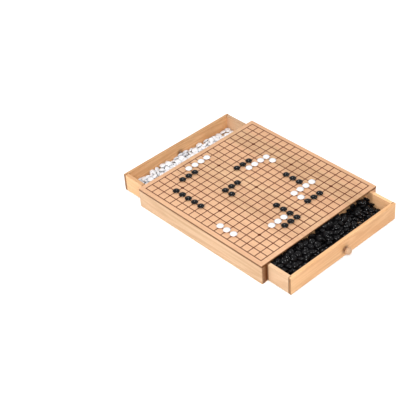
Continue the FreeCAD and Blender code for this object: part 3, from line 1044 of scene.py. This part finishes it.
@dataclass
class PouringBench:
    """A bench on which all heaps settle together, at a hundred times their size.

    Attributes:
        lip: how far the trays' sides stand above the drawers'.
        apart: how far the trays stand apart on the bench.
        pitch: how far the hanging stones are apart, side to side.
        level: how far their layers are apart, and first_level the lowest one's height in levels.
        jitter: how far a hanging stone may be out of place, in millimetres.
        tumble: how far it may be tilted, in radians.
        contact: the settings that each stone and board has in common.
    """

    stone: StoneShape = field(default_factory=StoneShape)
    enlarge: float = 100.0
    gravity: float = 98.0
    last_frame: int = 90
    lip: float = 0.12
    thick: float = 0.03
    apart: float = 60.0
    pitch: float = 14.2 * MM
    level: float = 8.5 * MM
    first_level: float = 0.7
    jitter: float = 0.4
    tumble: float = 0.5
    contact: tuple[tuple[str, object], ...] = (
        ("use_margin", True),
        ("collision_margin", 0.01),
        ("friction", 0.45),
        ("restitution", 0.0),
        ("linear_damping", 0.15),
        ("angular_damping", 0.35),
        ("use_deactivation", False),
    )

    def tray_frame(self, heap: Heap, number: int) -> Matrix:
        """Works out where a heap's tilted tray stands on the bench.

        Args:
            heap: the heap.
            number: the tray's number.

        Returns:
            The matrix from the part's frame to the tray.
        """
        middle = (heap.low + heap.high) / 2
        tilt = Euler((math.radians(heap.lean[0]), math.radians(heap.lean[1]), 0.0)).to_matrix().to_4x4()
        stand = Matrix.Translation((0.0, self.apart * number, 0.0))
        return stand @ tilt @ Matrix.Scale(self.enlarge, 4) @ Matrix.Translation(-middle)

    def tray(self, heap: Heap, lay: Matrix) -> list[Object]:
        """Adds the five fixed boards of one tray.

        Args:
            heap: the heap that it holds.
            lay: the matrix to the bench.

        Returns:
            The boards: the bottom, the left, the right, the front and the back.
        """
        low, high, thick = heap.low, heap.high.copy(), self.thick
        high.z += self.lip
        out_low = (low.x - thick, low.y - thick, low.z - thick)
        out_high = (high.x + thick, high.y + thick, high.z)
        spans = (
            (out_low, (high.x + thick, high.y + thick, low.z)),
            (out_low, (low.x, high.y + thick, high.z)),
            ((high.x, low.y - thick, low.z - thick), out_high),
            (out_low, (high.x + thick, low.y, high.z)),
            ((low.x - thick, high.y, low.z - thick), out_high),
        )
        boards = []
        for low, high in ((Vector(a), Vector(b)) for a, b in spans):
            shape = bmesh.new()
            bmesh.ops.create_cube(shape, size=1.0)
            bmesh.ops.scale(shape, vec=(high - low) * self.enlarge, verts=shape.verts)
            spot, turn, _ = (lay @ Matrix.Translation((low + high) / 2)).decompose()
            stand = Matrix.Translation(spot) @ turn.to_matrix().to_4x4()
            boards.append(place("bench board", mesh_of("bench board", shape), stand))
        return boards

    def pour(self, heap: Heap, lay: Matrix, pattern: Mesh) -> list[Object]:
        """Hangs a heap's stones over their tray in loose layers.

        Args:
            heap: the heap.
            lay: the matrix to the bench.
            pattern: the enlarged stone.

        Returns:
            The stones.
        """
        dice = random.Random(heap.seed)
        low, pitch, jitter, tumble = heap.low, self.pitch, self.jitter, self.tumble
        across = int((heap.high.x - low.x) / pitch)
        along = int((heap.high.y - low.y) / pitch)
        stones, number = [], -1
        turn = lay.decompose()[1].to_matrix()
        while len(stones) < heap.count:
            number += 1
            layer, rest = divmod(number, across * along)
            row, column = divmod(rest, across)
            share = (column + 0.5) / across
            if layer >= heap.hollow_layers and heap.hollow[0] < share < heap.hollow[1]:
                continue
            x = low.x + pitch * (column + 0.5) + dice.uniform(-jitter, jitter) * MM
            y = low.y + pitch * (row + 0.5) + dice.uniform(-jitter, jitter) * MM
            spot = Vector((x, y, low.z + self.level * (layer + self.first_level)))
            tilts = dice.uniform(-tumble, tumble), dice.uniform(-tumble, tumble)
            roll = Euler((*tilts, dice.uniform(0.0, math.tau))).to_matrix()
            stand = Matrix.Translation(lay @ spot) @ (turn @ roll).to_4x4()
            stones.append(place("bench stone", pattern, stand))
        return stones

    def run(self, heaps: list[Heap]) -> dict[str, list[Matrix]]:
        """Lets every heap settle.

        Args:
            heaps: the heaps.

        Returns:
            For each heap's name, the matrix of each stone in the part's frame.
        """
        scene = bpy.context.scene
        shape = self.stone.heaped()
        bmesh.ops.scale(shape, vec=(self.enlarge,) * 3, verts=shape.verts)
        pattern = mesh_of("bench pattern", shape)
        frames = {heap.name: self.tray_frame(heap, number) for number, heap in enumerate(heaps)}
        boards = [board for heap in heaps for board in self.tray(heap, frames[heap.name])]
        poured = {heap.name: self.pour(heap, frames[heap.name], pattern) for heap in heaps}
        stones = [stone for group in poured.values() for stone in group]
        bpy.context.view_layer.update()

        bpy.ops.rigidbody.world_add()
        world = scene.rigidbody_world
        world.substeps_per_frame, world.solver_iterations = 12, 12
        world.point_cache.frame_start, world.point_cache.frame_end = 1, self.last_frame
        self.enlist(boards, "PASSIVE", "BOX")
        self.enlist(stones, "ACTIVE", "CONVEX_HULL")
        gravity = tuple(scene.gravity)
        scene.gravity = (0.0, 0.0, -self.gravity)
        for number in range(1, self.last_frame + 1):
            scene.frame_set(number)
        graph = bpy.context.evaluated_depsgraph_get()
        shrink = Matrix.Scale(self.enlarge, 4)
        rests = {
            name: [
                frames[name].inverted() @ stone.evaluated_get(graph).matrix_world @ shrink
                for stone in group
            ]
            for name, group in poured.items()
        }
        bpy.ops.rigidbody.world_remove()
        scene.gravity = gravity
        scene.frame_set(1)
        for helper in boards + stones:
            mesh = helper.data
            bpy.data.objects.remove(helper)
            if mesh.users == 0:
                bpy.data.meshes.remove(mesh)
        return rests

    def enlist(self, things: list[Object], kind: str, hull: str) -> None:
        """Makes things part of the settling.

        Args:
            things: the boards or the stones.
            kind: PASSIVE for what stands still, ACTIVE for what falls.
            hull: the shape that they collide with.
        """
        bpy.ops.object.select_all(action="DESELECT")
        for thing in things:
            thing.select_set(True)
        bpy.context.view_layer.objects.active = things[0]
        bpy.ops.rigidbody.objects_add(type=kind)
        for thing in things:
            thing.rigid_body.collision_shape = hull
            for name, value in self.contact:
                setattr(thing.rigid_body, name, value)


@dataclass
class StoneDrawer:
    """One drawer: its boards, its screw and its turned knob.

    Attributes:
        outer: the Y of its front board's outer face.
        outward: the sign of the direction in which it opens.
        log: where in the log its boards were cut.
        joint_depth: how far its rabbeted corner joint lies behind the outer face.
        joint: half of the joint's width, and how dark it is; joint_spread gives the same for a wider,
            fainter darkening along that joint, and neck for a painted shade on the knob's neck.
        mouth: how far from the middle the case's mouth is, where a painted shade lies across the sides;
            sides gives each side's wood with that shade's half width and strength.
        rim_shade_strength: how dark a painted shade along the boards' top edges is.
        knob_shade_place: the height of the knob's axis and how far the painted shade round the knob reaches.
    """

    body: Body
    outer: float
    outward: int
    log: float
    rim_shade_strength: float = 0.0
    rim: float = 37.2 * MM
    rim_half_width: float = 0.7 * MM
    joint_depth: float = 4.4 * MM
    joint: Pair = (0.8 * MM, 0.75)
    joint_spread: Pair = (1.5 * MM, 0.8)
    neck: Pair = (3.6 * MM, 0.65)
    mouth: float = 155.1 * MM
    # Each side's wood, with the half width and strength of a painted shade across it at the case's mouth:
    # the gap's shade on the left, the board edge's shade on the right.
    sides: tuple[tuple[str, WoodFinish, float, float], ...] = (
        ("left", CASE_WOOD, 2.1 * MM, 0.85),
        ("right", LIT_SIDE_WOOD, 7.0 * MM, 0.35),
    )
    knob_shade_place: Pair = (16.5 * MM, 11.0 * MM)

    def dress(self) -> None:
        """Gives each board of the drawer its grain and its finish."""
        name, log = self.body.value, self.log
        joint = self.outer - self.outward * self.joint_depth
        # The rim band is a painted shade along the boards' top edges.
        rim = Band(Axis.Z, self.rim, self.rim_half_width, self.rim_shade_strength)
        ends = (Band(Axis.Y, joint, *self.joint_spread), Band(Axis.Y, joint, *self.joint), rim)
        for number, (board, handled) in enumerate((("front", self.knob_shade_place), ("back", None))):
            cut = (log + number * 0.9, 0.3, 0.5 + number)
            dress_board(f"{name}_{board}", DRAWER_WOOD, Grain.ALONG_X, cut, (rim,), handled=handled)
        for number, (side, wood, *mouth_shade) in enumerate(self.sides):
            cut = (log + 2.0 + number, 0.7, 0.2)
            bands = (Band(Axis.Y, self.outward * self.mouth, *mouth_shade), *ends)
            dress_board(f"{name}_{side}_side", wood, Grain.ALONG_Y, cut, bands)
        dress_board(f"{name}_floor", PANEL_WOOD, Grain.ALONG_X, (log, 1.1, 0.9))
        dress(f"{name}_knob_screw", SCREW_STEEL.material(f"{name} screw steel"))

    def add_knob(self) -> None:
        """Turns the knob and sets it on the drawer."""
        name = self.body.value
        # The neck band is a painted shade on the knob's neck, next to the drawer's face.
        neck = Band(Axis.Y, self.outer, *self.neck)
        finish = KNOB_WOOD.material(f"{name} knob beech", Grain.ALONG_Y, (self.log, 0.9, 0.02), (neck,))
        knob = Knob().build(f"{name}_turned_knob", self.outer, self.outward, finish)
        settle(knob, self.body, "knob_wood", f"{name}_knob")


# Studio


@dataclass(frozen=True)
class Lamp:
    """A soft square lamp that faces the object."""

    name: str
    place: Triple
    size: float
    power: float
    gloss: bool = True

    def hang(self) -> None:
        """Adds the lamp to the scene."""
        data = bpy.data.lights.new(self.name, "AREA")
        data.shape, data.size, data.energy = "SQUARE", self.size, self.power
        lamp = place(self.name, data)
        lamp.location = self.place
        lamp.visible_glossy = self.gloss
        lamp.rotation_mode = "QUATERNION"
        lamp.rotation_quaternion = (-Vector(self.place)).to_track_quat("-Z", "Y")


@dataclass
class Studio:
    """A pale floor, soft lamps, a white surround and the camera."""

    camera_place: Triple = (-1.0735, -1.1132, 1.2345)
    camera_forward: Triple = (0.50747, 0.60057, -0.61789)
    camera_up: Triple = (0.46006, 0.41748, 0.78362)
    lens: float = 98.93
    floor_size: float = 8.0
    floor_colour: Triple = (0.80, 0.80, 0.80)
    lifts: Pair = (0.35, 0.62)
    lift_ends: Pair = (0.6, 3.0)
    surround: float = 0.55
    lamps: tuple[Lamp, ...] = (
        Lamp("key lamp", (-1.4, -2.0, 1.7), 1.0, 21.0, gloss=False),
        Lamp("fill lamp", (-1.9, 0.7, 1.5), 1.2, 19.0, gloss=False),
        Lamp("top lamp", (0.4, 0.5, 2.2), 1.2, 5.0, gloss=False),
        Lamp("left glint", (-1.2, -1.2, 1.9), 0.38, 30.0),
        Lamp("back glint", (0.9, 1.2, 1.9), 0.26, 9.0),
        Lamp("right glint", (1.3, -1.2, 1.7), 0.2, 7.0),
    )

    def build(self) -> None:
        """Sets up the camera, the floor, the surround and the lamps."""
        self.add_camera()
        self.add_floor()
        self.add_surround()
        for lamp in self.lamps:
            lamp.hang()
        bpy.context.scene.view_settings.view_transform = "Standard"

    def add_camera(self) -> None:
        """Adds the camera."""
        data = bpy.data.cameras.new("camera")
        data.sensor_width = 36.0
        data.lens = self.lens
        data.clip_start, data.clip_end = 0.05, 50.0
        back = -Vector(self.camera_forward).normalized()
        right = Vector(self.camera_up).cross(back).normalized()
        turn = Matrix((right, back.cross(right), back)).transposed().to_4x4()
        camera = place("camera", data, Matrix.Translation(self.camera_place) @ turn)
        bpy.context.scene.camera = camera

    def add_floor(self) -> None:
        """Adds the floor, which looks white to the camera and keeps the shadow."""
        shape = bmesh.new()
        bmesh.ops.create_grid(shape, x_segments=1, y_segments=1, size=self.floor_size / 2)
        mesh = mesh_of("studio floor", shape)
        floor = place("studio_floor", mesh)
        paint = Paint("studio floor")
        near, far = self.lifts
        away = paint.between(paint.vector("LENGTH", paint.position), *self.lift_ends)
        lift = paint.plus(paint.times(away, far - near), near)
        glow = paint.add("ShaderNodeEmission", {"Strength": paint.times(self.seen_directly(paint), lift)})
        paper = paint.add("ShaderNodeBsdfDiffuse", {"Color": self.floor_colour})
        both = paint.add("ShaderNodeAddShader", {0: paper.outputs[0], 1: glow.outputs[0]})
        mesh.materials.append(paint.end(both.outputs[0]))

    @staticmethod
    def seen_directly(graph: Graph) -> Socket:
        """Tells which rays see the surround as it looks.

        Args:
            graph: the node tree that asks.

        Returns:
            1 for rays from the camera and for those that a gloss or a glass sends on.
        """
        path = named(graph.add("ShaderNodeLightPath").outputs)
        seen = graph.math("MAXIMUM", path["Is Camera Ray"], path["Is Glossy Ray"])
        return graph.math("MAXIMUM", seen, path["Is Transmission Ray"])

    def add_surround(self) -> None:
        """Adds the world: white where it is seen, and dimmer where it only gives light."""
        world = bpy.data.worlds.new("studio surround")
        bpy.context.scene.world = world
        world.use_nodes = True
        graph = Graph(world.node_tree)
        feeds = {"Value": self.seen_directly(graph), "To Min": self.surround, "To Max": 1.0}
        strength = graph.add("ShaderNodeMapRange", feeds).outputs["Result"]
        sky = graph.add("ShaderNodeBackground", {"Strength": strength})
        graph.add("ShaderNodeOutputWorld", {"Surface": sky.outputs[0]})


def main() -> None:
    """Builds the set in order: studio, board, case, drawers, game, heaps."""
    logging.basicConfig(level=logging.INFO, format="%(name)s: %(message)s")
    Studio().build()
    PlayingBoard().dress()
    CaseShell().dress()
    drawers = (
        StoneDrawer(Body.FRONT_DRAWER, outer=-207.5 * MM, outward=-1, log=4.0),
        StoneDrawer(Body.BACK_DRAWER, outer=211.0 * MM, outward=1, log=9.0, rim_shade_strength=0.35),
    )
    for drawer in drawers:
        drawer.dress()
        drawer.add_knob()
    black = BLACK_STONE.material("black stone")
    white = WHITE_STONE.material("white stone")
    GameInPlay().build(black, white)
    black_heap = Heap(
        "black_stone_heap",
        count=290,
        low=Vector((-125.4, -200.9, 7.8)) * MM,
        high=Vector((125.4, -146.1, 37.2)) * MM,
        lean=(-18.5, -0.4),
        seed=8,
        hollow=(0.70, 0.88),
        hollow_layers=3,
    )
    white_heap = Heap(
        "white_stone_heap",
        count=180,
        low=Vector((-125.4, 149.6, 7.8)) * MM,
        high=Vector((125.4, 204.4, 37.2)) * MM,
        lean=(-3.0, -1.0),
        seed=6,
    )
    bench = PouringBench()
    rests = bench.run([black_heap, white_heap])
    for heap, finish, body, colour in (
        (black_heap, black, Body.FRONT_DRAWER, "black"),
        (white_heap, white, Body.BACK_DRAWER, "white"),
    ):
        piece = heap.piece(rests[heap.name], bench.stone, finish)
        settle(piece, body, f"{colour}_stone", f"{colour}_stones_in_drawer")


if __name__ == "__main__":
    main()
